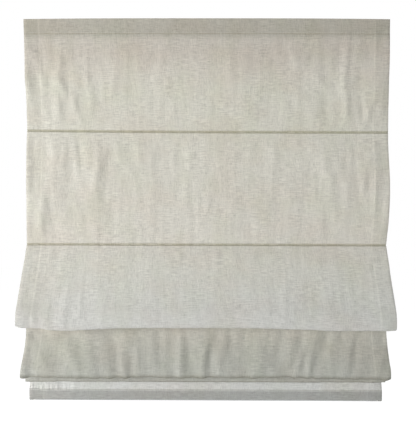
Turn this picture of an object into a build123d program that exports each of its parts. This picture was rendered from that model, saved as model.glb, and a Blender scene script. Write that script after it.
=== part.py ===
from build123d import *
import os
from math import cos, radians, sin, sqrt

# A cordless roman blind, partly raised, hung from two wall brackets.
# X runs along the headrail, the room is at -Y, the wall is the plane Y = 0, and +Z is up.
# The origin is the middle of the four wall screw holes. All sizes are in millimetres.

# Driving dimensions of the cloth
BLIND_WIDTH = 1000.0
CLOTH = 0.7
SIDE_HEM = 41.0
ROD_SPACING = 310.0
HEADING_RISE = 1.0
HEM_POCKET_HEIGHT = 35.0
HEM_SETBACK = 8.0
HEM_DROP = 222.0

# Driving dimensions of the folds at this height of the blind
FOLD_DROP = 203.0
STACK_PITCH = 9.0
OPEN_FOLD_REACH = 66.0
OPEN_FOLD_SHOULDER = 185.0
OPEN_FOLD_CORNER = 236.0
OPEN_FOLD_ARCH_BACK = 20.0
OPEN_FOLD_ARCH_RISE = 17.0
OPEN_FOLD_RADII = [80, 10, 12]
FRONT_FOLD_DEPTH = 148.0
FRONT_FOLD_REACH = 44.0
FRONT_FOLD_RADIUS = 7.0
FRONT_FOLD_NECK = 10.6
FRONT_FOLD_NECK_DROP = 52.0
FRONT_FOLD_LEAD = 11.2
FRONT_FOLD_RETURN = 6.8
FRONT_FOLD_RETURN_DROP = 46.0
FRONT_FOLD_LIP = 13.0
FRONT_FOLD_OUT_RADII = [8, 150, 50]
FRONT_FOLD_BACK_RADII = [60, 150, 10]
BACK_FOLD_DEPTH = 157.0
BACK_FOLD_REACH = 15.0
BACK_FOLD_RADIUS = 4.0
BACK_FOLD_NECK = 5.6
BACK_FOLD_NECK_DROP = 71.0
BACK_FOLD_LEAD = 7.5
BACK_FOLD_LIP = 12.0
BACK_FOLD_OUT_RADII = [10, 200, 100]
BACK_FOLD_BACK_RADII = [200, 200]
PANEL_NECK_DROP = 52.0
PANEL_LIP = 15.0
PANEL_RADII = [300, 100]
TUCK_RADIUS = 0.9
FRONT_TUCK_END = -40.0
BACK_TUCK_START = 150.0
JOINT_GAP = 0.3

# Driving dimensions of the headrail and its brackets
HEADRAIL_INSET = 5.0
HEADRAIL_HEIGHT = 40.0
HEADRAIL_DEPTH = 38.0
HEADRAIL_WALL = 1.6
HEADRAIL_LIP = 6.0
HEADRAIL_CORNER = 1.2
STRIP = 1.5
STRIP_HEIGHT = 36.0
STRIP_CORNER = 2.0
END_CAP = 2.0
END_CAP_PLUG = 10.0
FIT = 0.2
BRACKET = 1.6
BRACKET_WIDTH = 30.0
BRACKET_INSET = 55.0
BRACKET_BEND = 2.6
SCREW_SPACING = 16.0
SCREW_HOLE_RADIUS = 2.25
BRACKET_SHELF = 12.0

# Driving dimensions of the rods, their pockets and rings
ROD_RADIUS = 2.0
ROD_INSET = 12.0
ROD_BARE = 8.0
ROD_CLEARANCE = 0.2
POCKET_TAPE = 0.5
POCKET_WEB = 3.0
TIP_WALL = 0.8
RING_RADIUS = 5.0
RING_WIRE = 1.0
RING_GAP = 0.1

# Driving dimensions of the weight bar
BAR_HEIGHT = 26.0
BAR_THICKNESS = 3.0
BAR_INSET = 15.0
BAR_CLEARANCE = 0.3
BAR_CORNER = 1.35
BAR_CAP = 5.0
BAR_CAP_EDGE = 0.75

# Driving dimensions of the lift gear
CORD_COLUMN_INSET = 150.0
CORD_RADIUS = 0.6
SHAFT_SIDE = 6.0
SHAFT_END = 20.0
DRUM_RADIUS = 10.0
DRUM_LENGTH = 40.0
CORD_INSET = 4.0
FLANGE_RADIUS = 12.5
FLANGE = 2.0
JOURNAL_RADIUS = 5.0
JOURNAL_LENGTH = 6.0
JOURNAL_CLEARANCE = 0.08
WINDING_LENGTH = 14.0
CRADLE_WALL = 3.0
CRADLE_FLOOR = 2.0
CRADLE_SIDE = 1.5
CRADLE_TOP = 10.0
CRADLE_SIDE_TOP = -4.0
SNAP_WIDTH = 9.0
GUIDE_RADIUS = 3.2
GUIDE_BORE = 1.6
GUIDE_REACH = 1.5
BEAD_RADIUS = 5.0
BEAD_HEIGHT = 12.0
BEAD_BORE = 1.0

# Driving dimensions of the spring unit
SPRING_WIRE = 3.0
SPRING_TURNS = 16
SPRING_RADIUS = 9.5
SPRING_ROOM = 1.0
CASE_WALL = 3.0
CASE_TOP = 15.0
COLLAR_LENGTH = 10.0
COLLAR_RADIUS = 10.5
SHAFT_CLEARANCE = 0.6

# Places worked out from those sizes
HEADRAIL_LENGTH = BLIND_WIDTH - 2 * HEADRAIL_INSET
ROD_LENGTH = BLIND_WIDTH - 2 * ROD_INSET
POCKET_LENGTH = ROD_LENGTH - 2 * ROD_BARE
BAR_LENGTH = BLIND_WIDTH - 2 * (BAR_INSET + BAR_CAP)
BRACKET_X = HEADRAIL_LENGTH / 2 - BRACKET_INSET
CORD_COLUMN = BLIND_WIDTH / 2 - CORD_COLUMN_INSET
CORD_X = (-CORD_COLUMN, 0.0, CORD_COLUMN)
SPRING_X = CORD_COLUMN / 2
HEADRAIL_BACK = -BRACKET
HEADRAIL_FRONT = HEADRAIL_BACK - HEADRAIL_DEPTH
HEADRAIL_MIDDLE = (HEADRAIL_BACK + HEADRAIL_FRONT) / 2
HEADRAIL_TOP = HEADRAIL_HEIGHT / 2
HEADRAIL_FLOOR = -HEADRAIL_TOP + HEADRAIL_WALL
CLOTH_BACK = HEADRAIL_FRONT - 2 * STRIP
CLOTH_FRONT = CLOTH_BACK - CLOTH
TOP_EDGE = HEADRAIL_TOP + HEADING_RISE

ROD_Z = [TOP_EDGE - ROD_SPACING, TOP_EDGE - 2 * ROD_SPACING]
ROD_Z += [ROD_Z[1] - FOLD_DROP - step * STACK_PITCH for step in range(3)]
UPPER_RODS = (1, 2)
SEAM_2, SEAM_3, SEAM_4, SEAM_5 = ROD_Z[1:]
HEM_BOTTOM = SEAM_5 - HEM_DROP

POCKET_BORE = ROD_RADIUS + ROD_CLEARANCE
POCKET_RADIUS = POCKET_BORE + POCKET_TAPE
ROD_Y = CLOTH_BACK + POCKET_WEB + POCKET_RADIUS
CORD_Y = ROD_Y + POCKET_RADIUS + RING_GAP + RING_RADIUS + RING_WIRE
SHAFT_Y = CORD_Y + DRUM_RADIUS + CORD_RADIUS + RING_GAP
SPOOL_LENGTH = DRUM_LENGTH + 2 * (FLANGE + JOURNAL_LENGTH)
SPOOL_SHIFT = DRUM_LENGTH / 2 - CORD_INSET
SPRING_LENGTH = SPRING_WIRE * SPRING_TURNS
CASE_LENGTH = SPRING_LENGTH + COLLAR_LENGTH + 2 * SPRING_ROOM + CASE_WALL

os.makedirs("parts", exist_ok=True)


def save(piece, name):
    piece.part.label = name
    export_step(piece.part, f"parts/{name}.step")


# Headrail: a channel with a floor and two walls, open above between two inward lips
with BuildPart() as headrail:
    with BuildSketch(Plane.YZ):
        with Locations((HEADRAIL_MIDDLE, 0)):
            RectangleRounded(HEADRAIL_DEPTH, HEADRAIL_HEIGHT, HEADRAIL_CORNER)
            inner_depth = HEADRAIL_DEPTH - 2 * HEADRAIL_WALL
            inner_height = HEADRAIL_HEIGHT - 2 * HEADRAIL_WALL
            Rectangle(inner_depth, inner_height, mode=Mode.SUBTRACT)
        with Locations((HEADRAIL_MIDDLE, HEADRAIL_TOP)):
            slot = inner_depth - 2 * HEADRAIL_LIP
            Rectangle(slot, HEADRAIL_WALL, align=(Align.CENTER, Align.MAX), mode=Mode.SUBTRACT)
    extrude(amount=HEADRAIL_LENGTH / 2, both=True)
    # a clearance hole in the floor for each cord guide
    with BuildSketch(Plane.XY.offset(-HEADRAIL_TOP)):
        with Locations([(x, CORD_Y) for x in CORD_X]):
            Circle(GUIDE_RADIUS + FIT)
    extrude(amount=HEADRAIL_WALL, mode=Mode.SUBTRACT)
save(headrail, "headrail")

# End caps: a plate over the end of the channel, with a hollow plug that fits inside it
for side, name in ((-1, "headrail_end_cap_left"), (1, "headrail_end_cap_right")):
    end = side * HEADRAIL_LENGTH / 2
    with BuildPart() as end_cap:
        with BuildSketch(Plane.YZ.offset(end)):
            with Locations((HEADRAIL_MIDDLE, 0)):
                RectangleRounded(HEADRAIL_DEPTH, HEADRAIL_HEIGHT, HEADRAIL_CORNER)
        extrude(amount=side * END_CAP)
        with BuildSketch(Plane.YZ.offset(end)):
            with Locations((HEADRAIL_MIDDLE, 0)):
                Rectangle(inner_depth - 2 * FIT, inner_height - 2 * FIT)
                plug_wall = 2 * HEADRAIL_WALL
                Rectangle(inner_depth - 2 * plug_wall, inner_height - 2 * plug_wall, mode=Mode.SUBTRACT)
        extrude(amount=-side * END_CAP_PLUG)
        outer_rim = end_cap.edges().group_by(Axis.X)[0 if side < 0 else -1]
        chamfer(outer_rim, END_CAP / 4)
    save(end_cap, name)

# Hook strip on the headrail, and the loop strip sewn to the heading between the side hems
for name, front, length in (
    ("hook_strip", HEADRAIL_FRONT - STRIP, HEADRAIL_LENGTH),
    ("loop_strip", CLOTH_BACK, BLIND_WIDTH - 2 * SIDE_HEM - 2 * FIT),
):
    with BuildPart() as strip:
        with BuildSketch(Plane.XZ.offset(-front)):
            RectangleRounded(length, STRIP_HEIGHT, STRIP_CORNER)
        extrude(amount=-STRIP)
    save(strip, name)

# Wall brackets: a plate on the wall, an arm over the rear lip that hooks under the front lip, and a shelf
hook_y = HEADRAIL_FRONT + HEADRAIL_WALL + HEADRAIL_LIP + FIT
hook_z = HEADRAIL_TOP - HEADRAIL_WALL - FIT
arm_z = HEADRAIL_TOP + BRACKET
outer_bends = [(0, -arm_z), (0, arm_z), (hook_y, arm_z)]
inner_bends = [
    (-BRACKET, -HEADRAIL_TOP),
    (-BRACKET, HEADRAIL_TOP),
    (hook_y + BRACKET, HEADRAIL_TOP),
]
for side, name in ((-1, "wall_bracket_left"), (1, "wall_bracket_right")):
    with BuildPart() as bracket:
        with BuildSketch(Plane.YZ.offset(side * BRACKET_X)) as profile:
            with BuildLine():
                Polyline(
                    (-BRACKET - BRACKET_SHELF, -arm_z),
                    *outer_bends,
                    (hook_y, hook_z),
                    (hook_y - HEADRAIL_LIP / 2, hook_z),
                )
                offset(amount=BRACKET, side=Side.LEFT, kind=Kind.INTERSECTION, closed=True)
            make_face()
            for bends, radius in ((outer_bends, BRACKET_BEND), (inner_bends, BRACKET_BEND - BRACKET)):
                fillet([profile.vertices().sort_by_distance(bend)[0] for bend in bends], radius)
        extrude(amount=BRACKET_WIDTH / 2, both=True)
        with BuildSketch(Plane.XZ.offset(BRACKET)):
            with Locations((side * BRACKET_X, 0)):
                with GridLocations(0, SCREW_SPACING, 1, 2):
                    Circle(SCREW_HOLE_RADIUS)
        extrude(amount=-BRACKET, mode=Mode.SUBTRACT)
    save(bracket, name)


def tuck_point(seam, angle, beyond=0.0):
    """A point of the front line of the tuck at a seam, or the point so far beyond it along the cloth."""
    y = CLOTH_FRONT - TUCK_RADIUS + TUCK_RADIUS * cos(radians(angle))
    z = seam + TUCK_RADIUS * sin(radians(angle))
    return (y + beyond * sin(radians(angle)), z - beyond * cos(radians(angle)))


def cloth_run(corners, radii, thickness=CLOTH):
    """Draws a run of cloth through these corners, with its thickness behind them, and gives its length."""
    with BuildLine() as run:
        FilletPolyline(*corners, radius=radii)
        length = sum(edge.length for edge in run.edges())
        offset(amount=thickness, side=Side.LEFT, closed=True)
    make_face(run.edges())
    return length


def cloth_turn(centre, radius, start, sweep):
    """Draws cloth that turns over about a centre, and gives the length of its front."""
    with BuildLine() as run:
        CenterArc(centre, radius, start, sweep)
        offset(amount=CLOTH, side=Side.LEFT, closed=True)
    make_face(run.edges())
    return radius * radians(abs(sweep))


# Cloth from the heading to rod 2: two flat panels, with a turned hem down each side
hem_x = (BLIND_WIDTH - SIDE_HEM) / 2
with BuildPart() as cloth_upper:
    with BuildSketch(Plane.XY.offset(SEAM_2)):
        with Locations((0, CLOTH_FRONT)):
            Rectangle(BLIND_WIDTH, CLOTH, align=(Align.CENTER, Align.MIN))
        with Locations((-hem_x, CLOTH_BACK), (hem_x, CLOTH_BACK)):
            Rectangle(SIDE_HEM, CLOTH, align=(Align.CENTER, Align.MIN))
    extrude(amount=TOP_EDGE - SEAM_2)
save(cloth_upper, "cloth_upper")

# The front line of the open fold: out and down from rod 2, round the bottom and back to rod 3
open_reach = CLOTH_FRONT - OPEN_FOLD_REACH
open_end = tuck_point(SEAM_3, 90)
open_fold_corners = [
    (CLOTH_FRONT, SEAM_2 - JOINT_GAP),
    (open_reach, SEAM_2 - OPEN_FOLD_SHOULDER),
    (open_reach, SEAM_2 - OPEN_FOLD_CORNER),
    (CLOTH_FRONT - OPEN_FOLD_ARCH_BACK, SEAM_3 + OPEN_FOLD_ARCH_RISE),
    (open_end[0] - JOINT_GAP - CLOTH, open_end[1]),
]

# Cloth of the open fold, which changes its shape as the stack is raised, with its side hems
with BuildPart() as cloth_fold:
    with BuildSketch(Plane.YZ):
        open_length = cloth_run(open_fold_corners, OPEN_FOLD_RADII)
    extrude(amount=BLIND_WIDTH / 2, both=True)
    for side in (-1, 1):
        with BuildSketch(Plane.YZ.offset(side * BLIND_WIDTH / 2)):
            cloth_run(open_fold_corners, OPEN_FOLD_RADII, 2 * CLOTH)
        extrude(amount=-side * SIDE_HEM)
save(cloth_fold, "cloth_fold")

# Where the two closed folds of the stack turn at the bottom, and the hem panel behind them
front_y = CLOTH_FRONT - FRONT_FOLD_REACH
front_z = SEAM_3 - FRONT_FOLD_DEPTH + FRONT_FOLD_RADIUS
front_inner = front_y + 2 * FRONT_FOLD_RADIUS
back_y = CLOTH_FRONT - BACK_FOLD_REACH
back_z = SEAM_4 - BACK_FOLD_DEPTH + BACK_FOLD_RADIUS
back_inner = back_y + 2 * BACK_FOLD_RADIUS
tuck_y = CLOTH_FRONT - TUCK_RADIUS
hem_front = CLOTH_FRONT + HEM_SETBACK
hem_top = HEM_BOTTOM + HEM_POCKET_HEIGHT
pocket_room = BAR_THICKNESS + 2 * BAR_CLEARANCE
pocket_depth = pocket_room + 2 * CLOTH
bar_bottom = HEM_BOTTOM + pocket_depth / 2

# Cloth of the stack: the two closed folds below rods 3 and 4, and the hem panel below rod 5
with BuildPart() as cloth_lower:
    with BuildSketch(Plane.YZ):
        cloth_turn((tuck_y, SEAM_3), TUCK_RADIUS, 90, FRONT_TUCK_END - 90)
        front_length = cloth_run(
            [
                tuck_point(SEAM_3, FRONT_TUCK_END),
                tuck_point(SEAM_3, FRONT_TUCK_END, FRONT_FOLD_LEAD),
                (CLOTH_FRONT - FRONT_FOLD_NECK, SEAM_3 - FRONT_FOLD_NECK_DROP),
                (front_y, front_z + FRONT_FOLD_LIP),
                (front_y, front_z),
            ],
            FRONT_FOLD_OUT_RADII,
        )
        front_length += cloth_turn((front_y + FRONT_FOLD_RADIUS, front_z), FRONT_FOLD_RADIUS, 180, 180)
        front_length += cloth_run(
            [
                (front_inner, front_z),
                (front_inner, front_z + FRONT_FOLD_LIP),
                (CLOTH_FRONT - FRONT_FOLD_RETURN, SEAM_3 - FRONT_FOLD_RETURN_DROP),
                tuck_point(SEAM_4, BACK_TUCK_START, -BACK_FOLD_LEAD),
                tuck_point(SEAM_4, BACK_TUCK_START),
            ],
            FRONT_FOLD_BACK_RADII,
        )
        cloth_turn((tuck_y, SEAM_4), TUCK_RADIUS, BACK_TUCK_START, -180)
        back_length = cloth_run(
            [
                tuck_point(SEAM_4, BACK_TUCK_START - 180),
                tuck_point(SEAM_4, BACK_TUCK_START - 180, BACK_FOLD_LEAD),
                (CLOTH_FRONT - BACK_FOLD_NECK, SEAM_4 - BACK_FOLD_NECK_DROP),
                (back_y, back_z + BACK_FOLD_LIP),
                (back_y, back_z),
            ],
            BACK_FOLD_OUT_RADII,
        )
        back_length += cloth_turn((back_y + BACK_FOLD_RADIUS, back_z), BACK_FOLD_RADIUS, 180, 180)
        back_length += cloth_run(
            [
                (back_inner, back_z),
                (back_inner, back_z + BACK_FOLD_LIP),
                (CLOTH_FRONT - 2 * TUCK_RADIUS, SEAM_5 - PANEL_NECK_DROP),
                (CLOTH_FRONT - 2 * TUCK_RADIUS, SEAM_5),
            ],
            BACK_FOLD_BACK_RADII,
        )
        cloth_turn((tuck_y, SEAM_5), TUCK_RADIUS, 180, -180)
        cloth_run(
            [
                (CLOTH_FRONT, SEAM_5),
                (CLOTH_FRONT, SEAM_5 - PANEL_NECK_DROP),
                (hem_front, hem_top + PANEL_LIP),
                (hem_front, hem_top),
            ],
            PANEL_RADII,
        )
        # the turned-up hem: a pocket round the weight bar, sewn shut above it
        with BuildLine():
            Polyline(
                (hem_front, hem_top),
                (hem_front, bar_bottom),
                (hem_front + pocket_depth, bar_bottom),
                (hem_front + pocket_depth, hem_top - pocket_depth),
                (hem_front + CLOTH, hem_top),
                close=True,
            )
        make_face()
        with Locations((hem_front + pocket_depth / 2, bar_bottom)):
            Circle(pocket_depth / 2)
        with Locations((hem_front + CLOTH, bar_bottom)):
            room = BAR_HEIGHT + 2 * BAR_CLEARANCE
            Rectangle(pocket_room, room, align=(Align.MIN, Align.MIN), mode=Mode.SUBTRACT)
    extrude(amount=BLIND_WIDTH / 2, both=True)
save(cloth_lower, "cloth_lower")
print(f"Cloth in the open, front and back fold: {open_length:.1f}, {front_length:.1f}, {back_length:.1f}")

# Weight bar in the hem pocket, with a cap on each end
bar_y = hem_front + CLOTH + BAR_CLEARANCE + BAR_THICKNESS / 2
bar_z = bar_bottom + BAR_CLEARANCE + BAR_HEIGHT / 2
with BuildPart() as weight_bar:
    with BuildSketch(Plane.YZ):
        with Locations((bar_y, bar_z)):
            RectangleRounded(BAR_THICKNESS, BAR_HEIGHT, BAR_CORNER)
    extrude(amount=BAR_LENGTH / 2, both=True)
save(weight_bar, "weight_bar")

for side, name in ((-1, "bar_cap_left"), (1, "bar_cap_right")):
    with BuildPart() as bar_cap:
        with BuildSketch(Plane.YZ.offset(side * BAR_LENGTH / 2)):
            with Locations((bar_y, bar_z)):
                RectangleRounded(BAR_THICKNESS, BAR_HEIGHT, BAR_CORNER)
        extrude(amount=side * BAR_CAP)
        rim = bar_cap.edges().group_by(Axis.X)[0 if side < 0 else -1]
        fillet(rim, BAR_CAP_EDGE)
    save(bar_cap, name)

# Rods, each in its pocket of tape, with a tip on each end and three cord rings sewn behind it
for number, rod_z in enumerate(ROD_Z, start=1):
    with BuildPart() as pocket:
        with BuildSketch(Plane.YZ):
            with Locations((ROD_Y, rod_z)):
                Circle(POCKET_RADIUS)
            with Locations((CLOTH_BACK, rod_z)):
                Rectangle(POCKET_WEB + POCKET_TAPE, 2 * POCKET_TAPE, align=(Align.MIN, Align.CENTER))
            with Locations((ROD_Y, rod_z)):
                Circle(POCKET_BORE, mode=Mode.SUBTRACT)
        extrude(amount=POCKET_LENGTH / 2, both=True)
        if number in UPPER_RODS:
            # the web is cut back where it crosses the side hems
            with BuildSketch(Plane.XY.offset(rod_z)):
                with Locations((-hem_x, CLOTH_BACK), (hem_x, CLOTH_BACK)):
                    Rectangle(SIDE_HEM, CLOTH, align=(Align.CENTER, Align.MIN))
            extrude(amount=POCKET_RADIUS, both=True, mode=Mode.SUBTRACT)
    save(pocket, f"rod_pocket_{number}")

    with BuildPart() as rod:
        with BuildSketch(Plane.YZ):
            with Locations((ROD_Y, rod_z)):
                Circle(ROD_RADIUS)
        extrude(amount=ROD_LENGTH / 2, both=True)
    save(rod, f"rod_{number}")

    with BuildPart() as tips:
        for side in (-1, 1):
            with BuildSketch(Plane.YZ.offset(side * ROD_LENGTH / 2)):
                with Locations((ROD_Y, rod_z)):
                    Circle(ROD_RADIUS + TIP_WALL)
            extrude(amount=side * TIP_WALL)
            with BuildSketch(Plane.YZ.offset(side * ROD_LENGTH / 2)):
                with Locations((ROD_Y, rod_z)):
                    Circle(ROD_RADIUS + TIP_WALL)
                    Circle(ROD_RADIUS, mode=Mode.SUBTRACT)
            extrude(amount=-side * (ROD_BARE - FIT))
    save(tips, f"rod_tips_{number}")

    with BuildPart() as rings:
        for x in CORD_X:
            with BuildSketch(Plane.XZ.offset(-CORD_Y)):
                with Locations((x + RING_RADIUS, rod_z)):
                    Circle(RING_WIRE)
            revolve(axis=Axis((x, CORD_Y, rod_z), (0, 0, 1)))
    save(rings, f"cord_rings_{number}")

# Lift gear for each cord: a cradle in the headrail, a spool, the cord wound on it, the cord and its bead
COLUMNS = ("left", "middle", "right")
cradle_y = (HEADRAIL_FRONT + HEADRAIL_WALL + FIT, HEADRAIL_BACK - HEADRAIL_WALL - FIT)
cradle_depth = cradle_y[1] - cradle_y[0]
cradle_centre = (cradle_y[0] + cradle_y[1]) / 2
for x, column in zip(CORD_X, COLUMNS):
    spool_x = x + SPOOL_SHIFT
    flange_x = DRUM_LENGTH / 2 + FLANGE
    with BuildPart() as spool:
        with BuildSketch(Plane.XY):
            with BuildLine():
                Polyline(
                    (spool_x - flange_x - JOURNAL_LENGTH, SHAFT_Y),
                    (spool_x - flange_x - JOURNAL_LENGTH, SHAFT_Y + JOURNAL_RADIUS),
                    (spool_x - flange_x, SHAFT_Y + JOURNAL_RADIUS),
                    (spool_x - flange_x, SHAFT_Y + FLANGE_RADIUS),
                    (spool_x - DRUM_LENGTH / 2, SHAFT_Y + FLANGE_RADIUS),
                    (spool_x - DRUM_LENGTH / 2, SHAFT_Y + DRUM_RADIUS),
                    (spool_x + DRUM_LENGTH / 2, SHAFT_Y + DRUM_RADIUS),
                    (spool_x + DRUM_LENGTH / 2, SHAFT_Y + FLANGE_RADIUS),
                    (spool_x + flange_x, SHAFT_Y + FLANGE_RADIUS),
                    (spool_x + flange_x, SHAFT_Y + JOURNAL_RADIUS),
                    (spool_x + flange_x + JOURNAL_LENGTH, SHAFT_Y + JOURNAL_RADIUS),
                    (spool_x + flange_x + JOURNAL_LENGTH, SHAFT_Y),
                    close=True,
                )
            make_face()
        revolve(axis=Axis((0, SHAFT_Y, 0), (1, 0, 0)))
        with BuildSketch(Plane.YZ.offset(spool_x)):
            with Locations((SHAFT_Y, 0)):
                Rectangle(SHAFT_SIDE, SHAFT_SIDE)
        extrude(amount=SPOOL_LENGTH, both=True, mode=Mode.SUBTRACT)
    save(spool, f"cord_spool_{column}")

    with BuildPart() as winding:
        with BuildSketch(Plane.YZ.offset(x + CORD_RADIUS + RING_GAP)):
            with Locations((SHAFT_Y, 0)):
                Circle(DRUM_RADIUS + 2 * CORD_RADIUS)
                Circle(DRUM_RADIUS, mode=Mode.SUBTRACT)
        extrude(amount=WINDING_LENGTH)
    save(winding, f"wound_cord_{column}")

    with BuildPart() as cradle:
        inner_x = flange_x + FIT
        outer_x = inner_x + CRADLE_WALL
        with BuildSketch(Plane.XY.offset(HEADRAIL_FLOOR)):
            with Locations((spool_x, cradle_centre)):
                Rectangle(2 * outer_x, cradle_depth)
        extrude(amount=CRADLE_TOP - HEADRAIL_FLOOR)
        with BuildSketch(Plane.XY.offset(HEADRAIL_FLOOR + CRADLE_FLOOR)):
            with Locations((spool_x, cradle_centre)):
                Rectangle(2 * inner_x, cradle_depth - 2 * CRADLE_SIDE)
        extrude(amount=CRADLE_TOP - HEADRAIL_FLOOR, mode=Mode.SUBTRACT)
        with BuildSketch(Plane.XY.offset(CRADLE_SIDE_TOP)):
            with Locations((spool_x, cradle_centre)):
                Rectangle(2 * inner_x, cradle_depth)
        extrude(amount=CRADLE_TOP - HEADRAIL_FLOOR, mode=Mode.SUBTRACT)
        # bearings for the spool's journals, open above so that the spool snaps in
        with BuildSketch(Plane.YZ.offset(spool_x)):
            with Locations((SHAFT_Y, 0)):
                Circle(JOURNAL_RADIUS + JOURNAL_CLEARANCE)
                Rectangle(SNAP_WIDTH, 2 * CRADLE_TOP, align=(Align.CENTER, Align.MIN))
        extrude(amount=2 * outer_x, both=True, mode=Mode.SUBTRACT)
        # the guide that leads the cord down through the headrail's floor
        with BuildSketch(Plane.XY.offset(HEADRAIL_FLOOR)):
            with Locations((x, CORD_Y)):
                Circle(GUIDE_RADIUS)
        extrude(amount=-HEADRAIL_WALL - GUIDE_REACH)
        with BuildSketch(Plane.XY.offset(HEADRAIL_FLOOR)):
            with Locations((x, CORD_Y)):
                Circle(GUIDE_BORE)
        extrude(amount=2 * HEADRAIL_WALL + GUIDE_REACH, both=True, mode=Mode.SUBTRACT)
    save(cradle, f"spool_cradle_{column}")

    bead_top = SEAM_5 - RING_WIRE - RING_GAP
    with BuildPart() as bead:
        with BuildSketch(Plane.XZ.offset(-CORD_Y)):
            with BuildLine():
                Polyline(
                    (x + BEAD_RADIUS, bead_top - BEAD_RADIUS / 2),
                    (x + BEAD_RADIUS, bead_top - BEAD_HEIGHT),
                    (x + BEAD_BORE, bead_top - BEAD_HEIGHT),
                    (x + BEAD_BORE, bead_top),
                    (x + BEAD_RADIUS / 2, bead_top),
                )
                RadiusArc(
                    (x + BEAD_RADIUS / 2, bead_top),
                    (x + BEAD_RADIUS, bead_top - BEAD_RADIUS / 2),
                    BEAD_RADIUS / 2,
                )
            make_face()
        revolve(axis=Axis((x, CORD_Y, 0), (0, 0, 1)))
    save(bead, f"cord_bead_{column}")

    with BuildPart() as cord:
        with BuildSketch(Plane.XY):
            with Locations((x, CORD_Y)):
                Circle(CORD_RADIUS)
        extrude(amount=bead_top - BEAD_HEIGHT + BEAD_BORE)
    save(cord, f"lift_cord_{column}")

# Square lift shaft through the three spools and the spring unit
shaft_from = CORD_X[0] + SPOOL_SHIFT - SPOOL_LENGTH / 2 - SHAFT_END
shaft_to = CORD_X[-1] + SPOOL_SHIFT + SPOOL_LENGTH / 2 + SHAFT_END
with BuildPart() as lift_shaft:
    with BuildSketch(Plane.YZ.offset(shaft_from)):
        with Locations((SHAFT_Y, 0)):
            Rectangle(SHAFT_SIDE, SHAFT_SIDE)
    extrude(amount=shaft_to - shaft_from)
save(lift_shaft, "lift_shaft")

# Spring unit: a case and its cover, the wound spring, and the collar through which it turns the shaft
shaft_hole = SHAFT_SIDE / sqrt(2) + SHAFT_CLEARANCE
case_radius = SPRING_RADIUS + SPRING_WIRE / 2 + SPRING_ROOM
case_from = SPRING_X - CASE_LENGTH / 2
spring_from = case_from + CASE_WALL
collar_from = spring_from + SPRING_LENGTH + SPRING_ROOM
cover_from = case_from + CASE_LENGTH
with BuildPart() as spring_case:
    with BuildSketch(Plane.YZ.offset(case_from)):
        with Locations((cradle_centre, HEADRAIL_FLOOR)):
            Rectangle(cradle_depth, CASE_TOP - HEADRAIL_FLOOR, align=(Align.CENTER, Align.MIN))
        with Locations((SHAFT_Y, 0)):
            Circle(shaft_hole, mode=Mode.SUBTRACT)
    extrude(amount=CASE_LENGTH)
    with BuildSketch(Plane.YZ.offset(spring_from)):
        with Locations((SHAFT_Y, 0)):
            Circle(case_radius)
    extrude(amount=CASE_LENGTH, mode=Mode.SUBTRACT)
save(spring_case, "spring_case")

with BuildPart() as spring_cover:
    with BuildSketch(Plane.YZ.offset(cover_from)):
        with Locations((cradle_centre, HEADRAIL_FLOOR)):
            Rectangle(cradle_depth, CASE_TOP - HEADRAIL_FLOOR, align=(Align.CENTER, Align.MIN))
        with Locations((SHAFT_Y, 0)):
            Circle(shaft_hole, mode=Mode.SUBTRACT)
    extrude(amount=CASE_WALL)
save(spring_cover, "spring_case_cover")

with BuildPart() as torsion_spring:
    with BuildSketch(Plane.XY):
        with Locations((spring_from + SPRING_LENGTH / 2, SHAFT_Y + SPRING_RADIUS)):
            Rectangle(SPRING_LENGTH - SPRING_WIRE, SPRING_WIRE / 2)
            with GridLocations(SPRING_WIRE, 0, SPRING_TURNS, 1):
                Circle(SPRING_WIRE / 2)
    revolve(axis=Axis((0, SHAFT_Y, 0), (1, 0, 0)))
save(torsion_spring, "torsion_spring")

with BuildPart() as spring_collar:
    with BuildSketch(Plane.YZ.offset(collar_from)):
        with Locations((SHAFT_Y, 0)):
            Circle(COLLAR_RADIUS)
            Rectangle(SHAFT_SIDE, SHAFT_SIDE, mode=Mode.SUBTRACT)
    extrude(amount=COLLAR_LENGTH)
save(spring_collar, "spring_collar")
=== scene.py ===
# %% [markdown]
# # A roman blind in natural linen
# A roman blind is one sheet of cloth with a stiff rod sewn across its back at every step. Cords lift
# the lowest rods and the cloth between two rods hangs out as a fold. This file dresses the packed
# CAD model: it folds a flat sheet of linen into place, sews it, threads the cords and gives every
# hidden piece its finish. It starts with the frame, because everything is placed from it.

# %% Load the frame
import bmesh
import bpy
import numpy as np
from math import atan2, cos, degrees, exp, pi, radians, sin, tan
from mathutils import Matrix, Vector, noise


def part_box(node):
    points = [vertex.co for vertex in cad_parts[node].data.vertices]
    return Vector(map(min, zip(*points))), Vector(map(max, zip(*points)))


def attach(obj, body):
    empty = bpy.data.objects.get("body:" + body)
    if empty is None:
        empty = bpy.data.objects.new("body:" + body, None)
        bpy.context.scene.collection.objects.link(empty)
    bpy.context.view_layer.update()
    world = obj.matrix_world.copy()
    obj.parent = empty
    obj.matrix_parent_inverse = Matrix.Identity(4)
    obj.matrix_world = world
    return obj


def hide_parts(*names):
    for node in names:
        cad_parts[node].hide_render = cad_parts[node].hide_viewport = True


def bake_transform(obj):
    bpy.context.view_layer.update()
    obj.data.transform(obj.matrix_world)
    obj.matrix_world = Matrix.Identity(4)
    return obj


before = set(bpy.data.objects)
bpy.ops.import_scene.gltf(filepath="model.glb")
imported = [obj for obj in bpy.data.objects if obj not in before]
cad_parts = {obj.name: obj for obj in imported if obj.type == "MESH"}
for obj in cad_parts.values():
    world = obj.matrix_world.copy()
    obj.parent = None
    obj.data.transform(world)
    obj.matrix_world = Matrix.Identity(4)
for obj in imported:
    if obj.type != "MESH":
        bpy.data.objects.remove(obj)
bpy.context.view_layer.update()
scene = bpy.context.scene
MM = 0.001

# %% [markdown]
# The heights of the seams are read from the rods, so that the cloth always meets them. The face of
# the flat cloth is the front of the CAD cloth.

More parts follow.
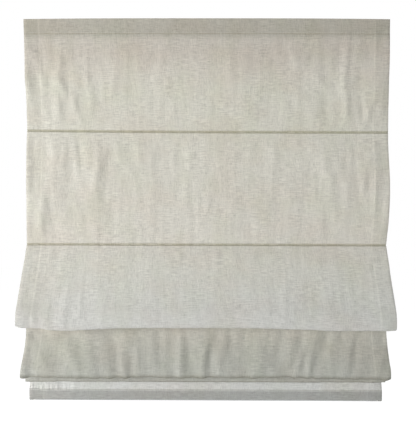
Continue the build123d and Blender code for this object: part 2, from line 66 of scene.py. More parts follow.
# %% Where the cloth hangs
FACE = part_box("cloth_upper")[0].y
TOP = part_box("cloth_upper")[1].z
HEM_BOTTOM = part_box("cloth_lower")[0].z
HALF_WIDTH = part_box("cloth_upper")[1].x
rod_centres = [sum(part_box(f"rod_{n}"), Vector()) / 2 for n in range(1, 6)]
SEAM = [None] + [c.z for c in rod_centres]
ROD_Y = rod_centres[0].y
CORD_Y = sum(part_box("lift_cord_middle"), Vector()).y / 2
COLUMNS = ("left", "middle", "right")
CORD_X = [sum(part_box(f"lift_cord_{column}"), Vector()).x / 2 for column in COLUMNS]
print("seams in mm below the top:", [round((TOP - z) / MM) for z in SEAM[1:]])

# %% [markdown]
# ## The camera
# The photograph was taken from about a metre away, level with the middle of the blind, so the folds
# that come forward look wider than the flat cloth. Place and turn were fitted to the outline.

# %% Camera
PHOTO_HIGH_PX, FOCAL_PX, SENSOR_WIDE = 439, 381, 36.0
CAMERA_RIGHT, CAMERA_AWAY, CAMERA_DOWN = 10 * MM, 1053 * MM, 527 * MM
TURN, TIP, ROLL = 0.23, 90 - 1.26, 0.14  # degrees, and a tip of 90 looks level
camera = bpy.data.objects.new("camera", bpy.data.cameras.new("camera"))
scene.collection.objects.link(camera)
scene.camera = camera
camera.data.sensor_width = SENSOR_WIDE
camera.data.lens = SENSOR_WIDE * FOCAL_PX / PHOTO_HIGH_PX
camera.data.clip_start, camera.data.clip_end = 0.05, 30.0
camera.location = (CAMERA_RIGHT, FACE - CAMERA_AWAY, TOP - CAMERA_DOWN)
turned, tipped, rolled = (Matrix.Rotation(radians(angle), 4, axis)
                          for angle, axis in ((TURN, "Z"), (TIP, "X"), (ROLL, "Z")))
camera.rotation_euler = (turned @ tipped @ rolled).to_euler()
print("camera at", [round(c, 3) for c in camera.location])

# %% [markdown]
# ## Helpers
# Every material below is a chain of a few nodes. One function adds a node, sets what is named and
# links what is given as a node or a socket. Colours are written as a painter sees them, in sRGB, and
# turned to linear light once. Every new piece is shaped as a bmesh and then put in the scene.

# %% Helpers for materials
def linear(code):
    """An sRGB hex colour as linear red, green, blue and alpha."""
    parts = [int(code[i : i + 2], 16) / 255 for i in (1, 3, 5)]
    return tuple(c / 12.92 if c < 0.04045 else ((c + 0.055) / 1.055) ** 2.4 for c in parts) + (1.0,)


def add(tree, kind, settings=None, **inputs):
    """Adds a node. Inputs are named as its sockets are, with _ for a space, or by number as _0."""
    node = tree.nodes.new(kind)
    for name, value in (settings or {}).items():
        setattr(node, name, value)
    for name, value in inputs.items():
        key = int(name[1:]) if name[0] == "_" else name.replace("_", " ")
        if isinstance(value, bpy.types.Node):
            value = value.outputs[0]
        if isinstance(value, bpy.types.NodeSocket):
            tree.links.new(value, node.inputs[key])
        else:
            node.inputs[key].default_value = value
    return node


def new_material(name):
    material = bpy.data.materials.new(name)
    material.use_nodes = True
    material.node_tree.nodes.clear()
    return material, material.node_tree


print("the grey #808080 in linear light:", round(linear("#808080")[0], 3))

# %% Helper for pieces
def from_bmesh(bm, name):
    """Puts a finished bmesh in the scene as an object at the origin."""
    piece = bpy.data.objects.new(name, bpy.data.meshes.new(name))
    bm.to_mesh(piece.data)
    bm.free()
    scene.collection.objects.link(piece)
    return piece


print("pieces from the frame:", len(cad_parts))

# %% [markdown]
# ## Floor and light
# The photograph shows the blind on plain white. The floor and the world are white to the camera and
# to what mirrors or passes light, and the floor keeps a faint shadow. The key lamp stands well to the
# left, so that its light grazes the cloth and shows its creases.

# %% Floor
FLOOR_HALF, FLOOR_BELOW = 6.0, 0.6
floor_bm = bmesh.new()
bmesh.ops.create_grid(floor_bm, x_segments=1, y_segments=1, size=FLOOR_HALF)
bmesh.ops.translate(floor_bm, verts=floor_bm.verts, vec=(0, 0, HEM_BOTTOM - FLOOR_BELOW))
floor = from_bmesh(floor_bm, "floor")


def seen_straight(tree):
    """1 where the camera sees the spot itself, or in a mirror, or through glass."""
    rays = add(tree, "ShaderNodeLightPath")
    straight = rays.outputs["Is Camera Ray"]
    for kind in ("Is Glossy Ray", "Is Transmission Ray"):
        straight = add(tree, "ShaderNodeMath", {"operation": "MAXIMUM"},
                       _0=straight, _1=rays.outputs[kind])
    return straight


# White paper gives the eye no texture: a plain white that keeps a part of the shadow on it.
paper, tree = new_material("white_paper_floor")
part_white = add(tree, "ShaderNodeMath", {"operation": "MULTIPLY"}, _0=seen_straight(tree), _1=0.85)
matt = add(tree, "ShaderNodeBsdfDiffuse", Color=linear("#f4f4f2"))
glow = add(tree, "ShaderNodeEmission", Color=(1, 1, 1, 1), Strength=1.13)
mixed = add(tree, "ShaderNodeMixShader", _0=part_white, _1=matt, _2=glow)
add(tree, "ShaderNodeOutputMaterial", Surface=mixed)
floor.data.materials.append(paper)
print("floor", round(FLOOR_BELOW / MM), "mm under the hem")

# %% World and lamps
scene.view_settings.view_transform = "Standard"
world = bpy.data.worlds.new("studio")
scene.world = world
world.use_nodes = True
tree = world.node_tree
tree.nodes.clear()
room = add(tree, "ShaderNodeBackground", Color=(0.97, 0.98, 1.0, 1), Strength=0.28)
white = add(tree, "ShaderNodeBackground", Color=(1, 1, 1, 1), Strength=1.0)
mixed = add(tree, "ShaderNodeMixShader", _0=seen_straight(tree), _1=room, _2=white)
add(tree, "ShaderNodeOutputWorld", Surface=mixed)


def soft_lamp(name, place, size, power, colour):
    """A square lamp that points at the middle of the blind."""
    lamp = bpy.data.lights.new(name, "AREA")
    lamp.shape, lamp.size, lamp.energy, lamp.color = "SQUARE", size, power, colour
    holder = bpy.data.objects.new(name, lamp)
    holder.location = place
    aim = Vector((0, FACE, (TOP + HEM_BOTTOM) / 2)) - Vector(place)
    holder.rotation_euler = aim.to_track_quat("-Z", "Y").to_euler()
    scene.collection.objects.link(holder)


# name, place and size in metres, power in watts, colour
soft_lamp("key", (-3.3, -1.75, -0.35), 1.2, 122, (1.0, 0.988, 0.995))
soft_lamp("fill", (1.2, -2.8, -0.6), 2.0, 21, (0.97, 0.985, 1.0))
soft_lamp("back", (0.6, 2.6, 0.6), 2.0, 30, (1.0, 1.0, 1.0))

# %% [markdown]
# ## The line of the cloth
# Seen from the side, the sheet is one line: straight down two panels, out into the open fold, over
# the tuck at rod 3, and so on to the hem. Cloth under its own weight hangs in long straight runs
# with soft turns, so each run is given by a few corners with a radius at each. The sizes are those
# of the CAD cloth, in millimetres from the face and from a seam.

# %% Runs and turns
def fillet(corners, radii):
    """Straight runs between corners, with an arc of its radius at each inner corner, as points."""
    corners = [np.array(c, float) for c in corners]
    line = [corners[0]]
    for before, corner, after, radius in zip(corners, corners[1:], corners[2:], radii):
        back, on = before - corner, after - corner
        back, on = back / np.linalg.norm(back), on / np.linalg.norm(on)
        half = np.arccos(np.clip(back @ on, -1, 1)) / 2
        centre = corner + (back + on) / np.linalg.norm(back + on) * radius / sin(half)
        first, last = corner + back * radius / tan(half), corner + on * radius / tan(half)
        a, b = first - centre, last - centre
        sweep = atan2(a[0] * b[1] - a[1] * b[0], a @ b)
        for step in np.linspace(0, 1, max(3, int(abs(degrees(sweep)) / 5))):
            t = sweep * step
            line.append(centre + [a[0] * cos(t) - a[1] * sin(t), a[0] * sin(t) + a[1] * cos(t)])
    return line + [corners[-1]]


def arc(centre, radius, start, end):
    """Points of an arc in the YZ plane, by angles in degrees."""
    angles = np.radians(np.linspace(start, end, max(4, int(abs(end - start) / 6))))
    return [np.array(centre) + radius * np.array([cos(t), sin(t)]) for t in angles]


print("points in a quarter turn:", len(arc((0, 0), 1, 0, 90)))

# %% The places that the line goes by
TUCK = 0.9  # the radius of the small turn over each lower rod's seam
# the hem pocket's height and depth, how far it hangs behind the face, and the gap at its stitches
POCKET_HIGH, POCKET_DEEP, HEM_BACK, HEM_BACK_TURN = 35.0, 5.0, 8.0, 1.2
s2, s3, s4, s5 = ((SEAM[n] - SEAM[3]) / MM for n in (2, 3, 4, 5))
top, hem_low = (TOP - SEAM[3]) / MM, (HEM_BOTTOM - SEAM[3]) / MM


def tuck_point(seam, angle, on=0.0):
    """A point of the tuck at a seam, or the point so far beyond it along the cloth."""
    y, z = -TUCK + TUCK * cos(radians(angle)), seam + TUCK * sin(radians(angle))
    return (y + on * sin(radians(angle)), z - on * cos(radians(angle)))


print("seams 2 to 5 in mm from seam 3:", [round(s) for s in (s2, s3, s4, s5)])

# %% The folds
panels = [(0, top), (0, s2)]
open_fold = fillet(
    [(0, s2), (-66, s2 - 185), (-66, s2 - 236), (-20, 17), tuck_point(s3, 90)], [80, 10, 12])
tuck_3 = arc((-TUCK, s3), TUCK, 90, -40)
front_fold = fillet(
    [tuck_point(s3, -40), tuck_point(s3, -40, 11.2), (-9, -52), (-38, -134), (-38, -147)],
    [8, 150, 50])
front_fold += arc((-32, -147), 6, 180, 360)
front_fold += fillet(
    [(-26, -147), (-26, -137), (-6.8, -46), tuck_point(s4, 150, -7), tuck_point(s4, 150)],
    [60, 150, 10])
tuck_4 = arc((-TUCK, s4), TUCK, 150, -30)
back_fold = fillet(
    [tuck_point(s4, -30), tuck_point(s4, -30, 8.2), (-4.6, s4 - 71), (-11, s4 - 153),
     (-11, s4 - 165)], [10, 200, 100])
back_fold += arc((-8.5, s4 - 165), 2.5, 180, 360)
back_fold += fillet([(-6, s4 - 165), (-6, s4 - 153), (-1.8, s5 - 52), (-1.8, s5)], [200, 200])
tuck_5 = arc((-TUCK, s5), TUCK, 180, 0)
print("points in the folds:", [len(p) for p in (open_fold, front_fold, back_fold)])

# %% The hem
low = hem_low + POCKET_DEEP / 2
hem_panel = fillet([(0, s5), (0, s5 - 52), (HEM_BACK, hem_low + 50), (HEM_BACK, low)], [300, 100])
hem_turn = arc((HEM_BACK + POCKET_DEEP / 2, low), POCKET_DEEP / 2, 180, 360)
hem_turn += fillet(
    [(HEM_BACK + POCKET_DEEP, low), (HEM_BACK + POCKET_DEEP, hem_low + 28),
     (HEM_BACK + HEM_BACK_TURN, hem_low + 33), (HEM_BACK + HEM_BACK_TURN, hem_low + POCKET_HIGH)],
    [20, 8])
print("points in the hem:", len(hem_panel) + len(hem_turn))

# %% The whole line, in even steps
LINE_STEP = 0.5 * MM


def distances(points):
    """How far along a line each of its points is."""
    return np.insert(np.cumsum(np.linalg.norm(np.diff(points, axis=0), axis=1)), 0, 0)


parts = [panels, open_fold, tuck_3, front_fold, tuck_4, back_fold, tuck_5, hem_panel, hem_turn]
line = np.array([p for part in parts for p in part]) * MM + [FACE, SEAM[3]]
line = line[np.insert(np.linalg.norm(np.diff(line, axis=0), axis=1) > 1e-7, 0, True)]
length = distances(line)
even = np.arange(0, length[-1], LINE_STEP)
line = np.stack([np.interp(even, length, line[:, i]) for i in (0, 1)], axis=1)
length = distances(line)
LENGTH = length[-1]
print("cloth from the top edge to the end of the turned hem:", round(LENGTH / MM), "mm")

# %% [markdown]
# A place on the flat sheet is its distance across and its distance down. These helpers turn it into
# a place in the room, and find the places down the sheet that matter: the seams and the folds.

# %% From the flat sheet to the hanging one
slope = np.gradient(line, axis=0)
slope /= np.linalg.norm(slope, axis=1)[:, None]
inward = np.stack([-slope[:, 1], slope[:, 0]], axis=1)


def at(down, depth=0.0):
    """Where a place so far down the sheet hangs, and so deep behind its face: y and z."""
    return [np.interp(down, length, line[:, i]) + depth * np.interp(down, length, inward[:, i])
            for i in (0, 1)]


def lowest_between(above, below):
    """How far down the sheet its lowest place between two seams is."""
    inside = (length > above) & (length < below)
    return length[np.argmin(np.where(inside, line[:, 1], np.inf))]


ends = np.cumsum([distances(np.array(part))[-1] * MM for part in parts])
DOWN_1, DOWN_2 = TOP - SEAM[1], ends[0]
DOWN_3, DOWN_4, DOWN_5 = (ends[n] + TUCK * MM for n in (1, 3, 5))
SEAMS_DOWN = (DOWN_1, DOWN_2, DOWN_3, DOWN_4, DOWN_5)
FOLD_1, FOLD_2, FOLD_3 = (lowest_between(*pair) for pair in zip(SEAMS_DOWN[1:], SEAMS_DOWN[2:]))
HEADING = 41 * MM  # the height of the heading, which hides the headrail
HEM_FOLD = length[np.argmin(line[:, 1])]
HEM_STITCH = HEM_FOLD - POCKET_HIGH * MM
print("seams down the sheet in mm:", [round(v / MM) for v in SEAMS_DOWN])
print("folds down the sheet in mm:", [round(v / MM) for v in (FOLD_1, FOLD_2, FOLD_3, HEM_FOLD)])

# %% [markdown]
# ## Creases
# Linen doesn't hang flat. It keeps long soft creases that run down the cloth, it puckers beside a
# seam where the thread draws it in, and its edges curl a little. These are small heights over the
# smooth sheet, made from noise that is stretched down the cloth, and a few creases placed one by one.

# %% Creases placed one by one
PLACED = [
    # across, down, to across, to down, height, width, in millimetres
    (-398, 55, -404, 85, 0.8, 5), (-402, 110, -412, 150, 0.9, 6), (-416, 158, -396, 186, 1.2, 6),
    (-396, 186, -392, 224, 1.0, 6), (-372, 214, -346, 296, 1.1, 8), (-108, 170, -116, 222, 0.8, 7),
    (226, 75, 250, 132, 0.9, 7), (284, 84, 262, 132, 0.7, 6), (292, 150, 334, 196, 0.9, 6),
    (386, 50, 374, 180, 1.4, 10), (374, 180, 392, 300, 1.1, 10), (462, 204, 440, 288, 1.1, 7),
    (-330, 160, -322, 260, 0.6, 9), (-250, 120, -262, 210, 0.6, 9), (60, 60, 66, 190, 0.5, 10),
    (-452, 470, -462, 600, 1.4, 12), (-300, 360, -312, 470, 0.7, 10), (180, 380, 168, 520, 0.6, 10),
    (330, 400, 352, 560, 0.9, 12), (440, 380, 428, 470, 1.0, 9), (-60, 420, -52, 560, 0.5, 10),
]


def placed_crease(x, down):
    """The creases that were placed one by one: soft ridges that fade at both ends."""
    height = 0.0
    for x0, d0, x1, d1, high, wide in PLACED:
        along = Vector(((x1 - x0) * MM, (d1 - d0) * MM))
        here = Vector((x - x0 * MM, down - d0 * MM))
        t = here.dot(along) / along.length_squared
        if -0.2 < t < 1.2:
            off = (here - along * t).length / (wide * MM)
            if off < 3:
                fade = max(0.0, 1 - abs(2 * t - 1) ** 3 / 1.4 ** 3)
                height += high * MM * exp(-off * off) * fade
    return height


print("creases placed by eye:", len(PLACED))

# %% [markdown]
# The rest of the relief is noise that is stretched down the cloth, from broad swells to tight lines.
# It fades at each seam, which holds the cloth flat, and it is weaker in the middle of the blind and
# in the closed folds. In the front fold, which is pressed together, the creases are sharper and lean
# outwards. All of it stays the same from run to run, because the noise depends on the place alone.

# %% Heights of the creases
def swell(x, down, wide, long, seed):
    """Soft noise of about this width across and length down the cloth, in metres."""
    return noise.noise(Vector((x / wide, down / long, seed)))


def ridge(x, down, wide, long, seed):
    """The same noise with narrow crests."""
    return (1 - abs(swell(x, down, wide, long, seed))) ** 5


def bump_at(off, wide):
    """1 at no distance, falling softly to 0 past a width."""
    return exp(-((off / wide) ** 2))


def relief(x, down):
    """How far the face stands out towards the room over the smooth sheet, in metres."""
    # every height here is in millimetres, until the last line
    to_seam = min(abs(down - s) for s in SEAMS_DOWN)
    to_edge = abs(x) / HALF_WIDTH
    in_stack = DOWN_3 < down
    calm = 1 - bump_at(to_seam, 28 * MM)
    if down < DOWN_1:
        calm = min(calm, max(0.0, (down - HEADING) / (60 * MM)) ** 0.7)
    if down > HEM_STITCH - 10 * MM:
        calm *= 0.25
    size = 0.5 if in_stack else np.interp(down, [DOWN_2, DOWN_2 + 0.05], [1.0, 0.55])
    lines = 2.6 * swell(x, down, 0.042, 0.17, 7.7) + 1.3 * swell(x, down, 0.018, 0.07, 4.2)
    lines += 3.4 * ridge(x, down, 0.034, 0.12, 1.3) * ridge(x, down, 0.4, 0.25, 9.9)
    middle_to_edge = 0.45 + 0.55 * to_edge ** 1.5
    height = size * (3.0 * swell(x, down, 0.24, 0.34, 3.1) + middle_to_edge * lines)
    if DOWN_3 < down < FOLD_2 + 40 * MM:
        leaning = x + 0.35 * (down - DOWN_3) * np.clip(x / 0.3, -1, 1)
        height += 3.2 * swell(leaning, down, 0.026, 0.075, 5.5)
        height += 2.56 * ridge(leaning, down, 0.0416, 0.13, 6.6)
    height += 3.2 * to_edge ** 14 * swell(x, down, 1 / 3, 0.11, 8.8)
    if down < DOWN_2:
        height += 2.4 * placed_crease(x, down) / MM
    height *= calm
    pucker = noise.noise(Vector((x / 0.017, 0.3, 2.2 + down / 0.2)))
    height += 1.3 * pucker * exp(-to_seam / (16 * MM))
    if x < 0:
        height += 2.4 * pucker * bump_at(down - HEM_STITCH + 6 * MM, 9 * MM) * to_edge ** 2
    if not in_stack:
        height -= 2.0 * bump_at(to_seam, 1.5 * MM)
    return height * MM


down_the_middle = [round(relief(0, d) / MM, 1) for d in (0.1, 0.2, 0.4, 0.7, 1.1)]
print("relief in mm at five places down the middle:", down_the_middle)

# %% [markdown]
# Between its rods the cloth sags a little, the bottom of each fold is wavy, and the sides are drawn
# in at the seams and spread at the folds. These tables give it, in millimetres, as read: the sag at
# places across the cloth, and the shift of both sides at places down the sheet.

# %% Sag and pull of the folds
SAG_ACROSS = [-500, -488, -466, -435, -410, -357, -270, -135, 140, 222, 326, 465, 492, 500]
SAG_FOLD_1 = [7.5, 4.6, 4.3, 3.2, -1, -3, 2.3, 5.5, 6, 4.4, 0, -1, -1.4, -0.5]
SAG_FOLD_2 = [1.5, 0, 0, -1, -2, -1.5, -1.5, -0.8, -0.3, 0, -0.8, -2.6, -3.6, -2.6]
SIDES_DOWN = [0, 150, 290, 330, 440, 560, DOWN_2 / MM, 770, FOLD_1 / MM, DOWN_3 / MM + 40,
              FOLD_2 / MM, FOLD_3 / MM, HEM_STITCH / MM - 30, HEM_STITCH / MM]
LEFT_IN = [-1, 3, 7.5, 6, 3.7, 3.7, 3.6, 2.2, 2.2, 6.5, 2.5, 2, 6, 3.5]
RIGHT_OUT = [1, 1, -0.8, 0, 6.5, 3.2, -2, -1.2, -1.2, -2.5, -2, -4, -7, -4.5]


def near(down, place, reach):
    """1 at a place on the sheet, falling to 0 at its reach."""
    return max(0.0, 1 - (abs(down - place) / reach) ** 2) ** 2


def hang(x, down, depth=0.0):
    """Where a place of the sheet hangs in the room, with its creases, sag and drawn-in edges."""
    y, z = at(down, depth - relief(x, down))
    z += np.interp(x / MM, SAG_ACROSS, SAG_FOLD_1) * MM * near(down, FOLD_1, 150 * MM)
    z += np.interp(x / MM, SAG_ACROSS, SAG_FOLD_2) * MM * near(down, FOLD_2, 120 * MM)
    z += 1.2 * MM * noise.noise(Vector((x / 0.09, 0.5, 1.1))) * near(down, FOLD_1, 120 * MM)
    z -= 2.4 * MM * abs(x / HALF_WIDTH) ** 3 * max(0.0, 1 - down / (60 * MM))
    rightness = (x / HALF_WIDTH + 1) / 2
    z += 3.5 * MM * near(down, DOWN_1, 150 * MM) * max(0.0, 1 - rightness) ** 3
    drawn = np.interp(down / MM, SIDES_DOWN, LEFT_IN) * (1 - rightness)
    drawn += np.interp(down / MM, SIDES_DOWN, RIGHT_OUT) * rightness
    return Vector((x + drawn * MM, y, z))


print("lowest place of the open fold in mm under the top:", round((TOP - hang(0, FOLD_1).z) / MM))

# %% [markdown]
# ## The sheet
# The sheet starts as a flat grid, cut to its real size with the hems that are turned to its back.
# Its lines are drawn close where the cloth turns tightly. The grid keeps its flat size in a UV map,
# in metres, so the weave follows the cloth. Then each vertex is moved to where that place hangs.

# %% Rows and columns of the grid
THICK, GAP, HEM = 0.4 * MM, 0.1 * MM, 41 * MM
LONGEST, SHORTEST, SEAM_STEP = 9.0 * MM, 0.45 * MM, 0.6 * MM  # the steps from row to row
TURN_STEP = 0.26  # radians that the cloth turns in one step
MIDDLE_LINES = 151
bend = np.linalg.norm(np.gradient(slope, axis=0), axis=1) / LINE_STEP
rows = [0.0]
while rows[-1] < LENGTH - 1e-6:
    d = rows[-1]
    curved = np.interp([d, d + 1.5 * MM], length, bend).max()
    step = min(LONGEST, max(SHORTEST, TURN_STEP / max(curved, 1e-3)))
    close = min(abs(d + 2 * MM - s) for s in (DOWN_1, DOWN_2))
    step = min(step, max(SEAM_STEP, 0.4 * close))
    rows.append(min(LENGTH, d + step))
FOLD_RADIUS = THICK + GAP / 2
fold_back = pi * FOLD_RADIUS
turn_columns = [HALF_WIDTH + fold_back * t for t in (0, 0.25, 0.5, 0.75, 1)]
right = turn_columns + [HALF_WIDTH + fold_back + HEM * t for t in (0.3, 0.6, 0.9, 1.0)]
middle = list(np.linspace(-HALF_WIDTH, HALF_WIDTH, MIDDLE_LINES))[1:-1]
columns = [-c for c in reversed(right)] + middle + right


def fold_round(across):
    """Across the flat sheet to across the hanging one, and how deep behind the face the hem lies."""
    past = abs(across) - HALF_WIDTH
    if past <= 0:
        return across, 0.0
    side = 1 if across > 0 else -1
    edge = HALF_WIDTH - 0.2 * FOLD_RADIUS
    if past < fold_back:
        t = past / FOLD_RADIUS
        return side * (edge + FOLD_RADIUS * sin(t)), FOLD_RADIUS * (1 - cos(t))
    return side * (edge - (past - fold_back)), 2 * FOLD_RADIUS


# %% Lay out the grid and hang it
def lay_grid(name, columns, rows, place):
    """A flat grid of the given lines, each vertex moved to its place, as a new object."""
    bm = bmesh.new()
    across, along = len(columns) - 1, len(rows) - 1
    bmesh.ops.create_grid(bm, x_segments=across, y_segments=along, size=1.0)
    cells = {v: (round((v.co.x + 1) / 2 * across), along - round((v.co.y + 1) / 2 * along))
             for v in bm.verts}
    uv = bm.loops.layers.uv.new("flat")
    for face in bm.faces:
        face.smooth = True
        for loop in face.loops:
            column, row = cells[loop.vert]
            loop[uv].uv = (columns[column], -rows[row])
    for vert, (column, row) in cells.items():
        vert.co = place(columns[column], rows[row])
    return from_bmesh(bm, name)


def settle(piece):
    """Applies a piece's modifiers to its mesh."""
    depsgraph = bpy.context.evaluated_depsgraph_get()
    mesh = bpy.data.meshes.new_from_object(
        piece.evaluated_get(depsgraph), preserve_all_data_layers=True, depsgraph=depsgraph)
    piece.modifiers.clear()
    piece.data = mesh


def place_on_sheet(across, down):
    x, depth = fold_round(across)
    return hang(x, down, depth)


linen_sheet = lay_grid("linen_sheet", columns, rows, place_on_sheet)
thickness = linen_sheet.modifiers.new("thickness", "SOLIDIFY")
thickness.thickness, thickness.offset = THICK, -1.0
settle(linen_sheet)
linen_sheet.data.set_sharp_from_angle(angle=radians(60))
print("linen sheet:", len(linen_sheet.data.polygons), "faces")

# %% [markdown]
# The sheet's place in the room is baked into its mesh.


def bend_with_lift(piece):
    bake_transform(piece)


bend_with_lift(linen_sheet)
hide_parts("cloth_upper", "cloth_fold", "cloth_lower")

# %% [markdown]
# ## Stitches
# The heading, the hem and the side hems are machine sewn, with a thread a little lighter than the
# cloth. A stitch is a short thread that dips at both ends, so a stretched ball of a few faces is
# enough, repeated along the seam on the cloth's own surface.

# %% Sew a seam
STITCH, THREAD = 3.4 * MM, 0.42 * MM


def sew(name, places, lengthwise=False):
    """A row of stitches at places (across, down) of the hanging sheet."""
    bm = bmesh.new()
    for x, down in places:
        centre = hang(x, down)
        ahead = (x, down + LINE_STEP) if lengthwise else (x + LINE_STEP, down)
        along = (hang(*ahead) - centre).normalized()
        facing = along.to_track_quat("X", "Z").to_matrix().to_4x4()
        size = Matrix.Diagonal((0.42 * STITCH, THREAD / 2, THREAD / 2, 1))
        bmesh.ops.create_uvsphere(bm, u_segments=6, v_segments=4, radius=1.0,
                                  matrix=Matrix.Translation(centre) @ facing @ size)
    for face in bm.faces:
        face.smooth = True
    print(name, len(places), "stitches")
    return from_bmesh(bm, name)


# %% The seams of the heading, the hem and the sides
across_places = np.arange(-HALF_WIDTH + 3 * MM, HALF_WIDTH - 3 * MM, STITCH)
down_places = np.arange(6 * MM, HEM_STITCH, 1.35 * STITCH)
heading_stitches = sew("heading_stitches", [(x, HEADING - 2 * MM) for x in across_places])
hem_stitches = sew("hem_stitches", [(x, HEM_STITCH) for x in across_places])
side_x = HALF_WIDTH - HEM + 2 * MM
side_stitches = [sew(f"side_stitches_{side}", [(sign * side_x, d) for d in down_places], True)
                 for side, sign in (("left", -1), ("right", 1))]
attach(heading_stitches, "root")
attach(hem_stitches, "stack")
for piece in side_stitches:
    bend_with_lift(piece)
stitches = [heading_stitches, hem_stitches] + side_stitches
print("rows of stitches:", len(stitches))

# %% [markdown]
# ## Rod pockets
# Each rod lies in a pocket of cotton tape sewn along the back of its seam. The tape is a flat strip
# folded round the rod, so it is made as the sheet was: a flat grid, moved to where it lies.

# %% Tape round a rod
TAPE_RADIUS, TAPE_THICK, TAPE_SLACK = 2.45 * MM, 0.35 * MM, 0.12 * MM
# its ends lie this far over and under the seam, reach to this far before the rod's middle, and the
# loop round the rod leaves this angle open on each side
TAPE_OFF, TAPE_MEETS, TAPE_OPEN = 0.3 * MM, 3.4 * MM, 0.5
# where the tape starts behind the face: on flat cloth, and in a tuck
WEB_FLAT, WEB_TUCK = 1.9 * MM, 0.5 * MM
TAPE_LINES = 61


def tape_pocket(number):
    """A strip of tape from the seam, round the rod and back to the seam, as a thin sheet."""
    seam, body = SEAM[number], "root" if number < 3 else "stack"
    web = FACE + (WEB_FLAT if number < 3 else WEB_TUCK)
    inner = [(web, seam + TAPE_OFF), (ROD_Y - TAPE_MEETS, seam + TAPE_OFF)]
    around = [(ROD_Y - TAPE_RADIUS * cos(t), seam + TAPE_RADIUS * sin(t))
              for t in np.linspace(TAPE_OPEN, 2 * pi - TAPE_OPEN, 22)]
    outer = [(y, 2 * seam - z) for y, z in reversed(inner)]
    profile = inner + around + outer
    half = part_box(f"rod_pocket_{number}")[1].x

    def place(across, row):
        y, z = profile[int(row)]
        slack = TAPE_SLACK * noise.noise(Vector((across / 0.02, row / 6, number)))
        return Vector((across, y + slack, z + slack))

    lines = np.linspace(-half, half, TAPE_LINES)
    piece = lay_grid(f"tape_pocket_{number}", lines, range(len(profile)), place)
    wall = piece.modifiers.new("wall", "SOLIDIFY")
    wall.thickness, wall.offset = TAPE_THICK, 0.0
    settle(piece)
    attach(piece, body)
    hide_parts(f"rod_pocket_{number}")
    flat_height = float(distances(np.array(profile))[-1])
    return piece


tape_pockets = [tape_pocket(n) for n in range(1, 6)]
print("tape pockets:", len(tape_pockets), "with", len(tape_pockets[0].data.polygons), "faces each")

# %% [markdown]
# ## Hook and loop strips
# The cloth hangs by a strip of loops sewn to its heading, pressed on a strip of hooks along the
# headrail. Only their edges show, so each is a thin rounded slab with the pile in its finish.

# %% Hook and loop strips
PILE_ROUNDING = 0.5 * MM


def strip(name, node):
    """A slab with softly rounded edges in a CAD strip's place."""
    low_corner, high_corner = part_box(node)
    bm = bmesh.new()
    bmesh.ops.create_cube(bm, size=1.0)
    bmesh.ops.scale(bm, vec=high_corner - low_corner, verts=bm.verts)
    bmesh.ops.translate(bm, vec=(high_corner + low_corner) / 2, verts=bm.verts)
    bmesh.ops.bevel(bm, geom=bm.edges[:], offset=PILE_ROUNDING, segments=2, profile=0.5,
                    affect="EDGES", material=-1)
    piece = from_bmesh(bm, name)
    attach(piece, "root")
    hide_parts(node)
    return piece


strips = [strip("hook_tape", "hook_strip"), strip("loop_tape", "loop_strip")]
print("strips:", [piece.name for piece in strips])

# %% [markdown]
# ## Lift cords
# Three thin braided cords run from the spools down through the rings to a bead under the lowest
# rod. As the blind rises they shorten, because the spools take them up. Each is a ring of vertices
# drawn down in many short steps, so that it can shorten smoothly. The turns on a spool are one ring
# of vertices wound round the drum.

# %% Cords that hang
CORD, CORD_STEPS = 0.6 * MM, 60


def hanging_cord(x, column):
    """A cord from the headrail to its bead, drawn down in short steps."""
    low_corner, high_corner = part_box(f"lift_cord_{column}")
    down = (0, 0, (low_corner.z - high_corner.z) / CORD_STEPS)
    bm = bmesh.new()
    bmesh.ops.create_circle(bm, cap_ends=True, segments=10, radius=CORD,
                            matrix=Matrix.Translation((x, CORD_Y, high_corner.z)))
    cap = bm.faces[:]
    for step in range(CORD_STEPS):
        grown = bmesh.ops.extrude_face_region(bm, geom=cap)["geom"]
        new_verts = [g for g in grown if isinstance(g, bmesh.types.BMVert)]
        bmesh.ops.translate(bm, verts=new_verts, vec=down)
        if step > 0:
            bmesh.ops.delete(bm, geom=[face for face in cap if face.is_valid], context="FACES_ONLY")
        cap = [g for g in grown if isinstance(g, bmesh.types.BMFace)]
    bmesh.ops.recalc_face_normals(bm, faces=bm.faces)
    for face in bm.faces:
        face.smooth = len(face.verts) == 4
    cord = from_bmesh(bm, f"braided_cord_{column}")
    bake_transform(cord)
    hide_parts(f"lift_cord_{column}")
    print(cord.name, "is", round((high_corner.z - low_corner.z) / MM), "mm long")
    return cord


cord_pieces = [hanging_cord(x, column) for x, column in zip(CORD_X, COLUMNS)]

# %% Cord on the spools
STEPS_A_TURN = 28


def coiled_cord(column):
    """The turns of cord on a spool, side by side: a small ring spun round the shaft."""
    low_corner, high_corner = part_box(f"wound_cord_{column}")
    axle = (low_corner + high_corner) / 2
    around = (high_corner.z - low_corner.z) / 2 - CORD
    turns = int((high_corner.x - low_corner.x) / (2 * CORD)) - 1
    start = Matrix.Translation((low_corner.x + CORD, axle.y, axle.z + around))
    bm = bmesh.new()
    bmesh.ops.create_circle(bm, cap_ends=False, segments=8, radius=CORD,
                            matrix=start @ Matrix.Rotation(radians(90), 4, "X"))
    bmesh.ops.spin(bm, geom=bm.verts[:] + bm.edges[:], cent=axle, axis=(1, 0, 0),
                   angle=2 * pi * turns, steps=STEPS_A_TURN * turns,
                   dvec=(2 * CORD / STEPS_A_TURN, 0, 0))
    bmesh.ops.holes_fill(bm, edges=[e for e in bm.edges if e.is_boundary], sides=8)
    bmesh.ops.recalc_face_normals(bm, faces=bm.faces)
    for face in bm.faces:
        face.smooth = True
    coil = from_bmesh(bm, f"coiled_cord_{column}")
    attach(coil, "winder")
    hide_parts(f"wound_cord_{column}")
    print(coil.name, turns, "turns")
    return coil


